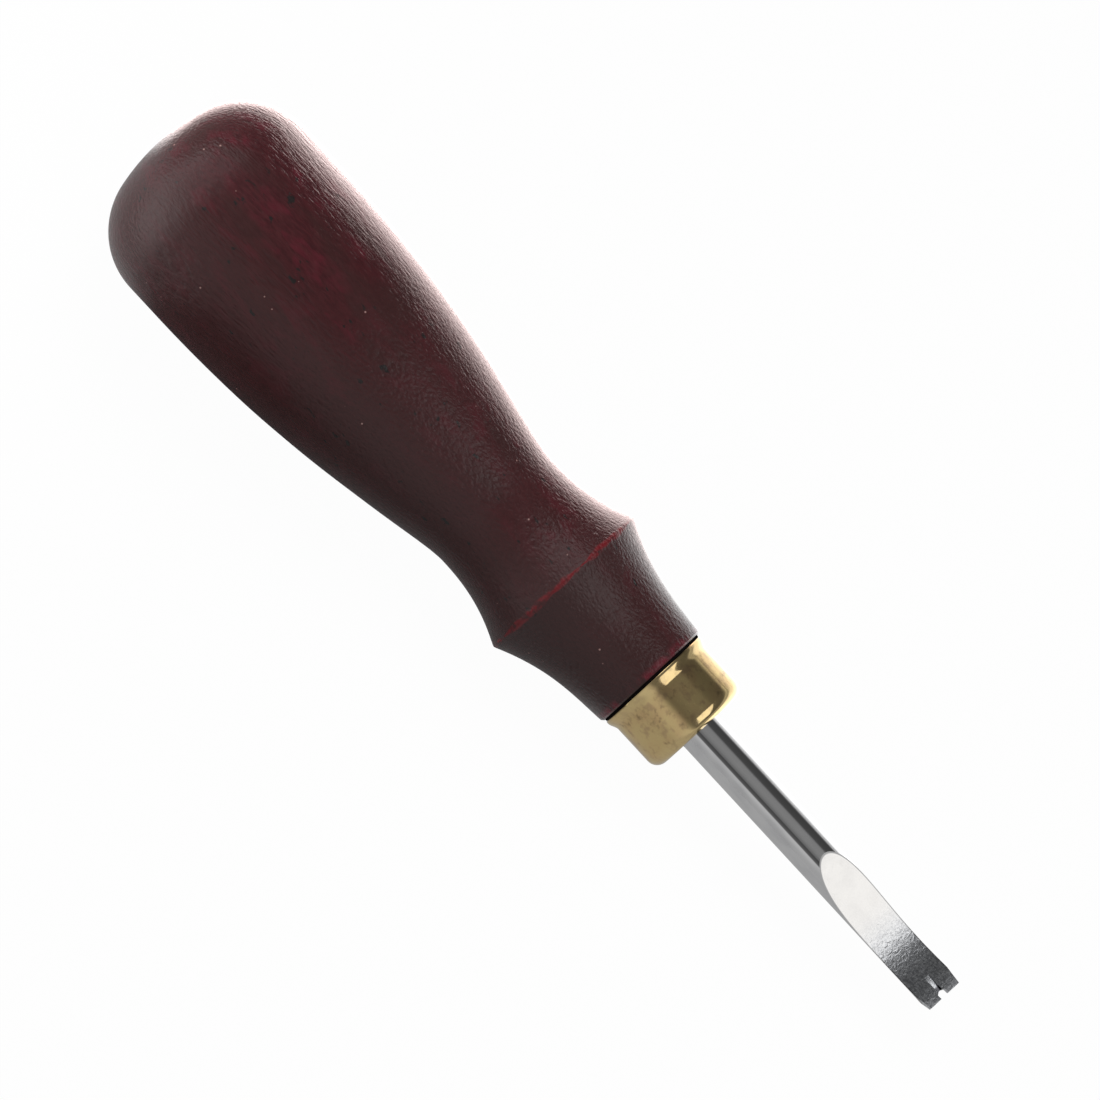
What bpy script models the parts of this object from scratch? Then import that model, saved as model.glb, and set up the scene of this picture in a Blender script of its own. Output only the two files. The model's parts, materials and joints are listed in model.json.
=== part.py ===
"""A leather edge beveler: a turned hardwood handle, a drawn brass ferrule and a steel blade.

The tool lies on a bench on its handle's belly and ridge, with the blade's hollow-ground face up.
Lengths are in metres. In the tool's own frame x runs along its axis, from x = 0 at the handle's
shoulder towards the tip, and z is square to the blade's face.
"""

import math

import bmesh
import bpy
from mathutils import Matrix, Vector
from mathutils.geometry import interpolate_bezier

# Handle, turned about the tool's axis: places along it are measured back from the shoulder,
# and a pull is how far a curve follows its tangent before it bends away
HANDLE_LENGTH = 0.0956
CROWN_RADIUS = 0.030
KNUCKLE_RADIUS = 0.011
BELLY_RADIUS = 0.0156
BELLY_TO_SHOULDER = 0.0783
SWELL_PULL = 0.0264
WAIST_RADIUS = 0.00975
WAIST_TO_SHOULDER = 0.0297
WAIST_PULL = 0.0050
FLARE_PULL = 0.0024
RIDGE_RADIUS = 0.01255
RIDGE_TO_SHOULDER = 0.0170
RIDGE_ROUND = 0.0005
RIDGE_RISE = math.radians(25.5)
RIDGE_RISE_PULL = 0.0060
RIDGE_FALL = math.radians(26.0)
RIDGE_FALL_PULL = 0.0078
SHOULDER_RADIUS = 0.00865
SHOULDER_ROUND = 0.0003
SHOULDER_TAPER = math.radians(6.5)
SHOULDER_PULL = 0.0038

# Ferrule, a drawn cup whose open end meets the shoulder
FERRULE_LENGTH = 0.0092
FERRULE_RADIUS = 0.0078
FERRULE_WALL = 0.0008
FERRULE_CORNER = 0.0017
LIP_FLARE = 0.0005
LIP_LAND = 0.00035
LIP_LENGTH = 0.0015

# Blade, a round rod from its tang in the handle to its ground tip
SHANK_RADIUS = 0.0030
TIP_TO_SHOULDER = 0.0570
TANG_LENGTH = 0.040
TANG_POINT = 0.0020
FACE_LENGTH = 0.0246
HOLLOW_DEPTH = 0.00358
HOLLOW_RADIUS = 0.040
TIP_WIDTH = 0.0052
TAPER_LENGTH = 0.0026
TIP_THICKNESS = 0.0010
TOE_LENGTH = 0.012
NOTCH_WIDTH = 0.0014
NOTCH_SIDE = 0.00065
NOTCH_ARCH = 0.00028
RAMP_LENGTH = 0.0035
RAMP_DEPTH = 0.0008
RAMP_WIDTH = 0.0007
GROOVE_LENGTH = 0.0070
GROOVE_RADIUS = 0.00060
EDGE_THICKNESS = 0.00015

# The gap that stands for the driven and glued fits, and how far a cutter passes what it cuts
FIT_GAP = 0.0003
OVERCUT = 0.001

# Points closer than this are one point
WELD = 0.000001

# Facets of the round shapes and steps of the curved ones
HANDLE_SIDES = 48
METAL_SIDES = 48
GROOVE_SIDES = 24
CROWN_STEPS = 5
KNUCKLE_STEPS = 9
SWELL_STEPS = 16
FLARE_STEPS = 8
RIDGE_STEPS = 4
COLLAR_STEPS = 8
LIP_STEPS = 6
CORNER_STEPS = 6
HOLLOW_STEPS = 18
ARCH_STEPS = 6

SHARP_ANGLE = math.radians(32.0)
TOWARDS_TIP = 0.0
TOWARDS_BUTT = math.pi
OUTWARD = math.pi / 2


def clear_scene():
    for obj in list(bpy.data.objects):
        bpy.data.objects.remove(obj, do_unlink=True)


def material(name, colour, roughness, metallic):
    made = bpy.data.materials.new(name)
    made.use_nodes = True
    shader = made.node_tree.nodes["Principled BSDF"]
    shader.inputs["Base Color"].default_value = (*colour, 1.0)
    shader.inputs["Roughness"].default_value = roughness
    shader.inputs["Metallic"].default_value = metallic
    return made


def along(point, angle, distance):
    """The point at this distance from another, at an angle up from +x."""
    return Vector((point.x + distance * math.cos(angle), point.y + distance * math.sin(angle)))


def arc(centre, radius, start, end, steps):
    turn = (end - start) / steps
    return [along(centre, start + turn * i, radius) for i in range(steps + 1)]


def curve(start, leaves_towards, end, arrives_from, steps):
    return interpolate_bezier(start, leaves_towards, arrives_from, end, steps + 1)


# Handle


def butt_outline():
    """From the axis to the belly: a flat crown and a rounder knuckle, tangent to each other."""
    between_centres = CROWN_RADIUS - KNUCKLE_RADIUS
    meet = TOWARDS_BUTT - math.asin((BELLY_RADIUS - KNUCKLE_RADIUS) / between_centres)
    crown_centre = Vector((CROWN_RADIUS - HANDLE_LENGTH, 0.0))
    knuckle_centre = along(crown_centre, meet, between_centres)
    crown = arc(crown_centre, CROWN_RADIUS, TOWARDS_BUTT, meet, CROWN_STEPS)
    knuckle = arc(knuckle_centre, KNUCKLE_RADIUS, meet, OUTWARD, KNUCKLE_STEPS)
    return crown + knuckle[1:]


def grip_outline():
    """The grip in (x, radius), from the middle of the butt to the shoulder's rounded edge."""
    belly = Vector((-BELLY_TO_SHOULDER, BELLY_RADIUS))
    waist = Vector((-WAIST_TO_SHOULDER, WAIST_RADIUS))
    ridge = Vector((-RIDGE_TO_SHOULDER, RIDGE_RADIUS))
    shoulder = Vector((-SHOULDER_ROUND, SHOULDER_RADIUS))
    before_ridge = along(ridge, TOWARDS_BUTT + RIDGE_RISE, RIDGE_ROUND)
    after_ridge = along(ridge, TOWARDS_TIP - RIDGE_FALL, RIDGE_ROUND)
    swell = curve(
        belly,
        along(belly, TOWARDS_TIP, SWELL_PULL),
        waist,
        along(waist, TOWARDS_BUTT, WAIST_PULL),
        SWELL_STEPS,
    )
    flare = curve(
        waist,
        along(waist, TOWARDS_TIP, FLARE_PULL),
        before_ridge,
        along(before_ridge, TOWARDS_BUTT + RIDGE_RISE, RIDGE_RISE_PULL),
        FLARE_STEPS,
    )
    ridge_top = curve(before_ridge, ridge, after_ridge, ridge, RIDGE_STEPS)
    collar = curve(
        after_ridge,
        along(after_ridge, TOWARDS_TIP - RIDGE_FALL, RIDGE_FALL_PULL),
        shoulder,
        along(shoulder, TOWARDS_BUTT - SHOULDER_TAPER, SHOULDER_PULL),
        COLLAR_STEPS,
    )
    return butt_outline() + swell + flare[1:] + ridge_top[1:] + collar[1:]


def handle_outline():
    """The whole half section: the grip, the spigot in the ferrule and the tang's blind bore."""
    spigot_radius = FERRULE_RADIUS - FERRULE_WALL - FIT_GAP
    spigot_end = FERRULE_LENGTH - FERRULE_WALL
    spigot_chamfer = FERRULE_CORNER - FERRULE_WALL
    bore_radius = SHANK_RADIUS + FIT_GAP
    bore_end = -TANG_LENGTH - FIT_GAP
    return grip_outline() + [
        Vector((0.0, SHOULDER_RADIUS - SHOULDER_ROUND)),
        Vector((0.0, spigot_radius)),
        Vector((spigot_end - spigot_chamfer, spigot_radius)),
        Vector((spigot_end, spigot_radius - spigot_chamfer)),
        Vector((spigot_end, bore_radius)),
        Vector((bore_end + TANG_POINT, bore_radius)),
        Vector((bore_end, 0.0)),
    ]


# Ferrule


def lip_outline(radius):
    """The flared mouth of a wall with this radius: a short land at its edge, then a neck."""
    edge = Vector((FIT_GAP, radius + LIP_FLARE))
    land_end = along(edge, TOWARDS_TIP, LIP_LAND)
    straight = Vector((land_end.x + LIP_LENGTH, radius))
    pull = LIP_LENGTH / 3
    neck = curve(
        land_end,
        along(land_end, TOWARDS_TIP, pull),
        straight,
        along(straight, TOWARDS_BUTT, pull),
        LIP_STEPS,
    )
    return [edge] + neck


def ferrule_outline():
    """The cup's closed half section: out along its outside and back along its inside."""
    closed_end = FIT_GAP + FERRULE_LENGTH
    hole_radius = SHANK_RADIUS + FIT_GAP
    bend = Vector((closed_end - FERRULE_CORNER, FERRULE_RADIUS - FERRULE_CORNER))
    outside = lip_outline(FERRULE_RADIUS)
    outside += arc(bend, FERRULE_CORNER, OUTWARD, TOWARDS_TIP, CORNER_STEPS)
    hole = [Vector((closed_end, hole_radius)), Vector((closed_end - FERRULE_WALL, hole_radius))]
    inside = arc(bend, FERRULE_CORNER - FERRULE_WALL, TOWARDS_TIP, OUTWARD, CORNER_STEPS)
    inside += lip_outline(FERRULE_RADIUS - FERRULE_WALL)[::-1]
    return outside + hole + inside


# Blade


def rod_outline():
    """The half section of the uncut rod, from the tang's point to a little past the tip."""
    rod_end = TIP_TO_SHOULDER + OVERCUT
    return [
        Vector((-TANG_LENGTH, 0.0)),
        Vector((TANG_POINT - TANG_LENGTH, SHANK_RADIUS)),
        Vector((rod_end, SHANK_RADIUS)),
        Vector((rod_end, 0.0)),
    ]


def hollow_centre():
    """The centre, in (x, z), of the wheel that ground the face."""
    lowest = math.sqrt(HOLLOW_DEPTH * (2.0 * HOLLOW_RADIUS - HOLLOW_DEPTH))
    return Vector(
        (TIP_TO_SHOULDER - FACE_LENGTH + lowest, SHANK_RADIUS - HOLLOW_DEPTH + HOLLOW_RADIUS)
    )


def face_point(x):
    """The point of the ground face at this x, in (x, z)."""
    centre = hollow_centre()
    return Vector((x, centre.y - math.sqrt(HOLLOW_RADIUS**2 - (x - centre.x) ** 2)))


def toe_line():
    """The underside's ground ramp, in (x, z), from where it starts to the tip."""
    start = Vector((TIP_TO_SHOULDER - TOE_LENGTH, -SHANK_RADIUS))
    return start, face_point(TIP_TO_SHOULDER) - Vector((0.0, TIP_THICKNESS))


def ramp_line():
    """The floor of the filed ramp above the notch, in (x, z), from where it starts to the tip."""
    return (
        face_point(TIP_TO_SHOULDER - RAMP_LENGTH),
        face_point(TIP_TO_SHOULDER) - Vector((0.0, RAMP_DEPTH)),
    )


def ramp_outline():
    """What filing the ramp takes away as seen from the side, in (x, z)."""
    start, end = ramp_line()
    beyond = OVERCUT / RAMP_LENGTH
    low = start.lerp(end, 1.0 + beyond)
    high = start.lerp(end, -beyond)
    return [low, high, Vector((high.x, SHANK_RADIUS)), Vector((low.x, SHANK_RADIUS))]


def groove_line():
    """The top of the groove under the notch, from where it starts to the cutting edge."""
    ramp_start, ramp_end = ramp_line()
    toe_start, toe_end = toe_line()
    notch_depth = NOTCH_SIDE + NOTCH_ARCH
    under_ramp = ramp_end.lerp(ramp_start, notch_depth / RAMP_LENGTH)
    start = toe_end.lerp(toe_start, GROOVE_LENGTH / TOE_LENGTH)
    return start, under_ramp - Vector((0.0, EDGE_THICKNESS))


def side_outline():
    """What the grinding leaves of the rod as seen from the side, in (x, z)."""
    tang_end = -TANG_LENGTH - OVERCUT
    rod_end = TIP_TO_SHOULDER + 2.0 * OVERCUT
    above = SHANK_RADIUS + OVERCUT
    centre = hollow_centre()
    down = -math.pi / 2
    enters = down - math.acos((centre.y - above) / HOLLOW_RADIUS)
    leaves = down + math.asin((rod_end - centre.x) / HOLLOW_RADIUS)
    toe_start, toe_end = toe_line()
    toe_past_tip = toe_start.lerp(toe_end, 1.0 + 2.0 * OVERCUT / TOE_LENGTH)
    return [
        Vector((tang_end, above)),
        *arc(centre, HOLLOW_RADIUS, enters, leaves, HOLLOW_STEPS),
        toe_past_tip,
        toe_start,
        Vector((toe_start.x, -above)),
        Vector((tang_end, -above)),
    ]


def plan_outline():
    """What is left of the rod as seen square to its face, in (x, y): the taper and the notch."""
    tang_end = -TANG_LENGTH - OVERCUT
    beside = SHANK_RADIUS + OVERCUT
    taper_start = TIP_TO_SHOULDER - TAPER_LENGTH
    notch_half = NOTCH_WIDTH / 2
    arch_radius = (notch_half**2 + NOTCH_ARCH**2) / (2.0 * NOTCH_ARCH)
    arch_half = math.asin(notch_half / arch_radius)
    arch_centre = Vector((TIP_TO_SHOULDER - NOTCH_SIDE - NOTCH_ARCH + arch_radius, 0.0))
    one_side = [
        Vector((tang_end, beside)),
        Vector((taper_start, beside)),
        Vector((taper_start, SHANK_RADIUS)),
        Vector((TIP_TO_SHOULDER, TIP_WIDTH / 2)),
        Vector((TIP_TO_SHOULDER, notch_half)),
    ]
    arch = arc(
        arch_centre,
        arch_radius,
        TOWARDS_BUTT - arch_half,
        TOWARDS_BUTT + arch_half,
        ARCH_STEPS,
    )
    other_side = [Vector((p.x, -p.y)) for p in reversed(one_side)]
    return one_side + arch + other_side


# Making solids of the outlines


def finished(name, shape):
    """A smooth-shaded object with its faces pointing out, whose flat faces keep their edges."""
    bmesh.ops.recalc_face_normals(shape, faces=shape.faces)
    mesh = bpy.data.meshes.new(name)
    shape.to_mesh(mesh)
    shape.free()
    mesh.shade_smooth()
    mesh.set_sharp_from_angle(angle=SHARP_ANGLE)
    made = bpy.data.objects.new(name, mesh)
    bpy.context.scene.collection.objects.link(made)
    return made


def turned(name, outline, sides, is_ring=False):
    """An outline in (x, radius) turned about the x axis, with one facet flat underneath."""
    shape = bmesh.new()
    points = [shape.verts.new((p.x, 0.0, p.y)) for p in outline]
    ends = list(zip(points, points[1:]))
    if is_ring:
        ends.append((points[-1], points[0]))
    edges = [shape.edges.new(pair) for pair in ends]
    bmesh.ops.rotate(shape, verts=points, matrix=Matrix.Rotation(math.pi / sides, 3, "X"))
    bmesh.ops.spin(
        shape,
        geom=points + edges,
        cent=(0.0, 0.0, 0.0),
        axis=(1.0, 0.0, 0.0),
        angle=2.0 * math.pi,
        steps=sides,
        use_merge=True,
    )
    bmesh.ops.remove_doubles(shape, verts=shape.verts, dist=WELD)
    return finished(name, shape)


def prism(name, corners, travel):
    """The face on these corners pushed along travel."""
    shape = bmesh.new()
    base = shape.faces.new([shape.verts.new(corner) for corner in corners])
    pushed = bmesh.ops.extrude_face_region(shape, geom=[base])
    moved = [part for part in pushed["geom"] if isinstance(part, bmesh.types.BMVert)]
    bmesh.ops.translate(shape, verts=moved, vec=travel)
    return as_cutter(finished(name, shape))


def round_bar(name, line, radius):
    """A round bar past both ends of a line in (x, z), with its top along the line."""
    start, end = line
    lengthen = (end - start).normalized() * OVERCUT
    square = Vector((lengthen.y, -lengthen.x)).normalized() * radius
    low = start - lengthen + square
    high = end + lengthen + square
    run = Vector((high.x - low.x, 0.0, high.y - low.y))
    middle = Vector(((low.x + high.x) / 2, 0.0, (low.y + high.y) / 2))
    shape = bmesh.new()
    bmesh.ops.create_cone(
        shape,
        cap_ends=True,
        segments=GROOVE_SIDES,
        radius1=radius,
        radius2=radius,
        depth=run.length,
        matrix=Matrix.Translation(middle) @ run.to_track_quat("Z", "Y").to_matrix().to_4x4(),
    )
    return as_cutter(finished(name, shape))


def as_cutter(obj):
    obj.hide_render = True
    obj.display_type = "WIRE"
    return obj


def work(piece, cutter, operation):
    cut = piece.modifiers.new(cutter.name, "BOOLEAN")
    cut.object = cutter
    cut.operation = operation
    cut.solver = "EXACT"


# The pieces


def make_handle():
    handle = turned("handle", handle_outline(), HANDLE_SIDES)
    handle.data.materials.append(material("stained_hardwood", (0.065, 0.019, 0.021), 0.45, 0.0))
    return [handle]


def make_ferrule():
    ferrule = turned("ferrule", ferrule_outline(), METAL_SIDES, is_ring=True)
    ferrule.data.materials.append(material("brass", (0.66, 0.53, 0.29), 0.3, 1.0))
    return [ferrule]


def make_blade():
    blade = turned("blade", rod_outline(), METAL_SIDES)
    blade.data.materials.append(material("polished_steel", (0.56, 0.56, 0.57), 0.2, 1.0))
    reach = SHANK_RADIUS + 2.0 * OVERCUT
    side = [(p.x, -reach, p.y) for p in side_outline()]
    plan = [(p.x, p.y, -reach) for p in plan_outline()]
    filed = [(p.x, -RAMP_WIDTH / 2, p.y) for p in ramp_outline()]
    ground_side = prism("ground_side", side, (0.0, 2.0 * reach, 0.0))
    ground_plan = prism("ground_plan", plan, (0.0, 0.0, 2.0 * reach))
    ramp = prism("filed_ramp", filed, (0.0, RAMP_WIDTH, 0.0))
    groove = round_bar("underside_groove", groove_line(), GROOVE_RADIUS)
    work(blade, ground_side, "INTERSECT")
    work(blade, ground_plan, "INTERSECT")
    work(blade, ramp, "DIFFERENCE")
    work(blade, groove, "DIFFERENCE")
    return [blade, ground_side, ground_plan, ramp, groove]


def resting_tilt(outline):
    """How far the axis dips towards the tip when the belly and the ridge both touch the bench."""
    back = [p for p in outline if p.x < -WAIST_TO_SHOULDER]
    front = [p for p in outline if p.x > -WAIST_TO_SHOULDER]
    tilt = 0.0
    for _ in range(len(outline)):
        down = Vector((math.sin(tilt), math.cos(tilt)))
        belly = max(back, key=down.dot)
        ridge = max(front, key=down.dot)
        tilt = math.atan2(belly.y - ridge.y, ridge.x - belly.x)
    return tilt


def make_axis():
    """The tool's axis, laid so that the tool rests on z = 0 with its box centred on the origin."""
    flat = math.cos(math.pi / HANDLE_SIDES)
    outline = [Vector((p.x, flat * p.y)) for p in grip_outline()]
    tilt = resting_tilt(outline)
    down = Vector((math.sin(tilt), math.cos(tilt)))
    forward = Vector((math.cos(tilt), -math.sin(tilt)))
    rearmost = min(forward.dot(p) for p in outline)
    tip = face_point(TIP_TO_SHOULDER)
    foremost = tip.x * math.cos(tilt) + tip.y * math.sin(tilt)
    axis = bpy.data.objects.new("tool_axis", None)
    axis.location = (-(rearmost + foremost) / 2, 0.0, max(down.dot(p) for p in outline))
    axis.rotation_euler = (0.0, tilt, 0.0)
    bpy.context.scene.collection.objects.link(axis)
    return axis


def main():
    clear_scene()
    axis = make_axis()
    for piece in make_handle() + make_ferrule() + make_blade():
        piece.parent = axis


main()
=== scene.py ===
"""The looks of the leather edge beveler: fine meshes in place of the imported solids, with their materials,
light and camera.

Lengths are in metres. In the tool's own frame x runs along its axis, from x = 0 at the handle's shoulder
towards the tip, and z is square to the blade's face.
"""

import json
import math

import bmesh
import bpy
from mathutils import Matrix, Vector, noise
from mathutils.geometry import interpolate_bezier


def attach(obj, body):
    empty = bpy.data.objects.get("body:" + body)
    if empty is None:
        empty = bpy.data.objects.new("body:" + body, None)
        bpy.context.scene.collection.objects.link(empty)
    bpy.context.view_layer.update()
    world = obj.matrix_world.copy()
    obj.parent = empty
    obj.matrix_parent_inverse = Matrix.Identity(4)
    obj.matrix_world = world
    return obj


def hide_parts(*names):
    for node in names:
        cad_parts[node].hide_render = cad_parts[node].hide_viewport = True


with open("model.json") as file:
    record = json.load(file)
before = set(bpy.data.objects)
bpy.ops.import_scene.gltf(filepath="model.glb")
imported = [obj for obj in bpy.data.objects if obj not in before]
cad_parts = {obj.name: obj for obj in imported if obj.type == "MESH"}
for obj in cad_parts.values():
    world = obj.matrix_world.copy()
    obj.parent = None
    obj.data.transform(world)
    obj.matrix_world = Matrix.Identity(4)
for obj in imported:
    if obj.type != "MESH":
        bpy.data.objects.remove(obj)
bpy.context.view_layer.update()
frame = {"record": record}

# Handle, turned about the tool's axis: places along it are measured back from the shoulder,
# and a pull is how far a curve follows its tangent before it bends away
HANDLE_LENGTH = 0.0956
CROWN_RADIUS = 0.030
KNUCKLE_RADIUS = 0.011
BELLY_RADIUS = 0.0156
BELLY_TO_SHOULDER = 0.0783
SWELL_PULL = 0.0264
WAIST_RADIUS = 0.00975
WAIST_TO_SHOULDER = 0.0297
WAIST_PULL = 0.0050
FLARE_PULL = 0.0024
RIDGE_RADIUS = 0.01255
RIDGE_TO_SHOULDER = 0.0170
RIDGE_ROUND = 0.0005
RIDGE_RISE = math.radians(25.5)
RIDGE_RISE_PULL = 0.0060
RIDGE_FALL = math.radians(26.0)
RIDGE_FALL_PULL = 0.0078
SHOULDER_RADIUS = 0.00865
SHOULDER_ROUND = 0.0003
SHOULDER_TAPER = math.radians(6.5)
SHOULDER_PULL = 0.0038

# Ferrule, a drawn cup whose open end meets the shoulder
FERRULE_LENGTH = 0.0092
FERRULE_RADIUS = 0.0078
FERRULE_WALL = 0.0008
FERRULE_CORNER = 0.0017
LIP_FLARE = 0.0005
LIP_LAND = 0.00035
LIP_LENGTH = 0.0015
LIP_ROUND = 0.0002

# Blade, a round rod from its tang in the handle to its ground tip
SHANK_RADIUS = 0.0030
TIP_TO_SHOULDER = 0.0570
TANG_LENGTH = 0.040
TANG_POINT = 0.0020
FACE_LENGTH = 0.0246
HOLLOW_DEPTH = 0.00358
HOLLOW_RADIUS = 0.040
TIP_WIDTH = 0.0052
TAPER_LENGTH = 0.0026
TIP_THICKNESS = 0.0010
TOE_LENGTH = 0.012
NOTCH_WIDTH = 0.0014
NOTCH_SIDE = 0.00065
NOTCH_ARCH = 0.00028
RAMP_LENGTH = 0.0035
RAMP_DEPTH = 0.0008
RAMP_WIDTH = 0.0007
GROOVE_LENGTH = 0.0070
GROOVE_RADIUS = 0.00060
EDGE_THICKNESS = 0.00015

# The line of glue in the joint, set in from the shoulder's edge. The wood's material paints it and the
# shoulder's edge beside it dark: glue, and painted shade in the joint
GLUE_INSET = 0.00015
GLUE_CLEARANCE = 0.00002

# The gap between the pieces, and how far a cutter passes what it cuts
FIT_GAP = 0.0003
OVERCUT = 0.001

# Points closer than this are one point
WELD = 0.000001
# A face whose middle is this near to the rod's or the wheel's surface belongs to it
SKIN = 0.00003

# Facets of the round shapes and steps of the curved ones
HANDLE_SIDES = 192
METAL_SIDES = 192
GROOVE_SIDES = 48
CURVE_STEPS = 40
BEND_STEPS = 16
HOLLOW_STEPS = 90
SHARP_ANGLE = math.radians(12.0)

# How far the hand-turned wood strays from true, over which distance, and the same along the worn ridge
TURNING_STRAY = 0.00005
TURNING_STRAY_LENGTH = 0.009
RIDGE_WEAR = 0.00010
RIDGE_WEAR_LENGTH = 0.0022
RIDGE_WEAR_REACH = 0.0012

# Photograph: its size, the length that a pixel covers, and the point in its middle
PHOTO_PIXELS = 1100
PIXEL = 0.0001315
CENTRE_TO_SHOULDER = 0.0213
CENTRE_ACROSS = 0.00158
CAMERA_DISTANCE = 2.5
# The sensor's width alone is in millimetres
SENSOR_WIDTH = 36.0
# The camera stands square to the axis, this far round it from the face, with the axis dipping to the right
CAMERA_ROLL = math.radians(18.0)
AXIS_DIP = math.radians(47.31)

# Key light: its strength, how wide it is, and how far it stands towards the tip and round the axis
KEY_STRENGTH = 2.0
KEY_WIDTH = math.radians(35.0)
KEY_TIPWARD = math.radians(-8.0)
KEY_ROUND = math.radians(44.0)

# Floor, a white dish with a low rim that backs the views from the side, and how far it lights itself
FLOOR_RADIUS = 3.2
RIM_RADIUS = 0.8
RIM_RISE = math.radians(50.0)
FLOOR_SIDES = 96
FLOOR_GLOW = 0.975

# What reflections see of the floor: spans of the world's x or y, and the light at the start and end of each
MIDDLE_SPAN = (0.002, 0.012)
LEFT_GREY_SPAN = (-0.10, -0.14)
LEFT_GREY_LEVELS = (0.42, 1.0)
# Beside the handle the left is a painted shadow of the handle, which only reflections see
LEFT_PAINTED_SHADOW_SPAN = (-0.065, 0.016)
LEFT_PAINTED_SHADOW_SOFT = 0.005
LEFT_PAINTED_SHADOW_CHANGE = (-0.045, -0.005)
LEFT_PAINTED_SHADOW_LEVELS = (0.05, 0.17)
RIGHT_GREY = 0.4
RIGHT_BRIGHT_SPAN = (-0.085, 0.09)
RIGHT_BRIGHT_SOFT = 0.015
RIGHT_NEAR_SPAN = (0.02, 0.05)
RIGHT_NEAR_LEVELS = (1.8, 1.3)
RIGHT_FAR_SPAN = (0.05, 0.2)
RIGHT_FAR_LOSSES = (0.0, 0.5)
RIGHT_HANDLE_SPAN = (0.016, -0.01)
RIGHT_HANDLE_GAINS = (1.0, 2.0)
RIGHT_BUTT_SPAN = (-0.03, -0.065)
RIGHT_BUTT_GAINS = (0.0, 1.5)
PINK_SPAN = (0.016, 0.0)

# Cards, soft lights bent round the tool that reflections see: how far each stands from the axis, where it
# starts and ends along it, between which angles round it from the camera, and how strongly it glows
TIP_CARD_DISTANCE = 0.30
TIP_CARD_SPAN = (0.071, 0.53)
TIP_CARD_ROUND = (math.radians(11.0), math.radians(55.0))
TIP_CARD_STRENGTH = 1.28
BUTT_CARD_DISTANCE = 0.05
BUTT_CARD_SPAN = (-0.8, -0.068)
BUTT_CARD_ROUND = (math.radians(-88.0), math.radians(56.0))
CARD_STEPS = 24

# The butt card's light in the world: it fades in along x, grows to the left and has a brighter spot
BUTT_CARD_FADE = (-0.052, -0.100)
BUTT_CARD_LEFT_SPAN = (-0.020, -0.048)
BUTT_CARD_LEVELS = (1.0, 1.9)
BUTT_SPOT_X_SPAN = (-0.22, -0.125)
BUTT_SPOT_X_SOFT = 0.02
BUTT_SPOT_Y_SPAN = (-0.012, 0.030)
BUTT_SPOT_Y_SOFT = 0.010
BUTT_SPOT_GAIN = 1.1

# Sky: its grey at angles round the axis from the camera, in degrees
SKY_STOPS = (
    (-90.0, 0.37),
    (-50.0, 0.43),
    (-35.0, 0.53),
    (-20.0, 0.55),
    (-12.0, 0.38),
    (-6.0, 0.19),
    (0.0, 0.165),
    (20.0, 0.20),
    (48.0, 0.185),
    (56.0, 0.13),
    (84.0, 0.11),
    (95.0, 0.125),
    (103.0, 0.7),
    (108.0, 1.0),
)
# It is dimmer towards the butt: the sines of two angles towards the tip, and the share of light at each
SKY_BUTT_SPAN = (-0.15, 0.02)
SKY_BUTT_LEVELS = (0.55, 1.0)
# Windows in it, between angles towards the tip and round the axis, in degrees
WIDE_WINDOW = {"tipward_span": (-60.0, -20.0), "round_span": (-75.0, 62.0), "soft": 12.0, "strength": 0.20}
SMALL_WINDOW = {"tipward_span": (-60.0, -24.0), "round_span": (14.0, 52.0), "soft": 6.0, "strength": 1.3}

# Angles in an outline, up from +x
TOWARDS_TIP = 0.0
TOWARDS_BUTT = math.pi
OUTWARD = math.pi / 2
DOWN = -math.pi / 2

# The attribute that keeps each point's place in the tool's frame
PLACE = "tool_place"


def along(point, angle, distance):
    """The point at this distance from another, at an angle up from +x."""
    return Vector((point.x + distance * math.cos(angle), point.y + distance * math.sin(angle)))


def arc(centre, radius, start, end, steps):
    turn = (end - start) / steps
    return [along(centre, start + turn * i, radius) for i in range(steps + 1)]


def curve(start, leaves_towards, end, arrives_from, steps):
    return interpolate_bezier(start, leaves_towards, arrives_from, end, steps + 1)


# Handle


def butt_outline():
    """From the axis to the belly: a flat crown and a rounder knuckle, tangent to each other."""
    between_centres = CROWN_RADIUS - KNUCKLE_RADIUS
    meet = TOWARDS_BUTT - math.asin((BELLY_RADIUS - KNUCKLE_RADIUS) / between_centres)
    crown_centre = Vector((CROWN_RADIUS - HANDLE_LENGTH, 0.0))
    knuckle_centre = along(crown_centre, meet, between_centres)
    crown = arc(crown_centre, CROWN_RADIUS, TOWARDS_BUTT, meet, BEND_STEPS)
    knuckle = arc(knuckle_centre, KNUCKLE_RADIUS, meet, OUTWARD, CURVE_STEPS)
    return crown + knuckle[1:]


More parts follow.
